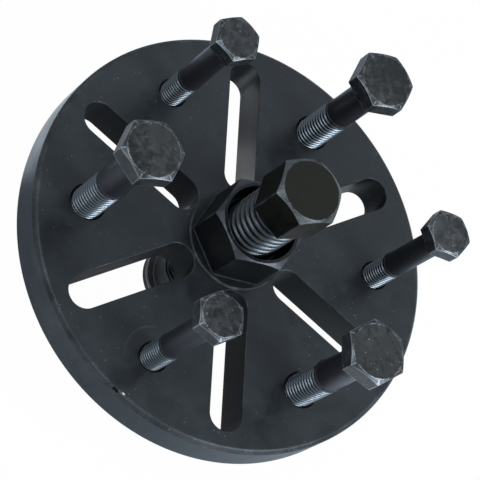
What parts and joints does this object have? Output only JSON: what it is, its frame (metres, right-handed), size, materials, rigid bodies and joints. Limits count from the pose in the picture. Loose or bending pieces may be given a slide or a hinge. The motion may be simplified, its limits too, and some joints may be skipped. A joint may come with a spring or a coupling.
{
  "type": "flange puller",
  "caption": "Slotted round puller plate with a hexagonal hub, a forcing screw with a swivelling pressure pad, and pulling bolts stored upright in tapped holes.",
  "frame": {"origin": "bottom centre of the pressure pad, with the screw wound as it is in the picture", "axes": "+Z along the forcing screw towards its head, +X along the middle of one slot"},
  "size_m": [0.13, 0.13, 0.0848],
  "materials": {
    "plate_black": "satin black oxide",
    "hub_black": "satin black oxide, turned",
    "screw_steel": "dark oiled steel, brighter on the thread crests",
    "pad_steel": "turned steel, lightly blackened",
    "spring_steel": "plain spring steel wire",
    "bolt_black": "black oxide, worn to bare steel on the edges"
  },
  "bodies": {
    "base": {"plate": "plate_black", "hub": "hub_black"},
    "pressure_pad": {"pressure_pad": "pad_steel", "pad_snap_ring": "spring_steel"},
    "forcing_screw": {"forcing_screw": "screw_steel"},
    "large_bolt_1": {"large_bolt_1": "bolt_black"},
    "large_bolt_2": {"large_bolt_2": "bolt_black"},
    "large_bolt_3": {"large_bolt_3": "bolt_black"},
    "small_bolt_1": {"small_bolt_1": "bolt_black"},
    "small_bolt_2": {"small_bolt_2": "bolt_black"},
    "small_bolt_3": {"small_bolt_3": "bolt_black"}
  },
  "joints": [
    {"name": "pad_travel", "type": "slide", "parent": "base", "child": "pressure_pad", "axis": [0, 0, 1], "range_m": [-0.0139, 0.0161]},
    {"name": "screw_turn", "type": "hinge", "parent": "pressure_pad", "child": "forcing_screw", "pos_m": [0, 0, 0.0108], "axis": [0, 0, 1], "range_deg": [-1783, 2066]},
    {"name": "large_bolt_1_travel", "type": "slide", "parent": "base", "child": "large_bolt_1", "axis": [0, 0, 1], "range_m": [-0.037, 0.02]},
    {"name": "large_bolt_2_travel", "type": "slide", "parent": "base", "child": "large_bolt_2", "axis": [0, 0, 1], "range_m": [-0.037, 0.02]},
    {"name": "large_bolt_3_travel", "type": "slide", "parent": "base", "child": "large_bolt_3", "axis": [0, 0, 1], "range_m": [-0.037, 0.02]},
    {"name": "small_bolt_1_travel", "type": "slide", "parent": "base", "child": "small_bolt_1", "axis": [0, 0, 1], "range_m": [-0.0368, 0.02]},
    {"name": "small_bolt_2_travel", "type": "slide", "parent": "base", "child": "small_bolt_2", "axis": [0, 0, 1], "range_m": [-0.037, 0.02]},
    {"name": "small_bolt_3_travel", "type": "slide", "parent": "base", "child": "small_bolt_3", "axis": [0, 0, 1], "range_m": [-0.0366, 0.02]}
  ],
  "couplings": [
    {"joint": "screw_turn", "follows": "pad_travel", "rad_per_m": 2228.1}
  ]
}
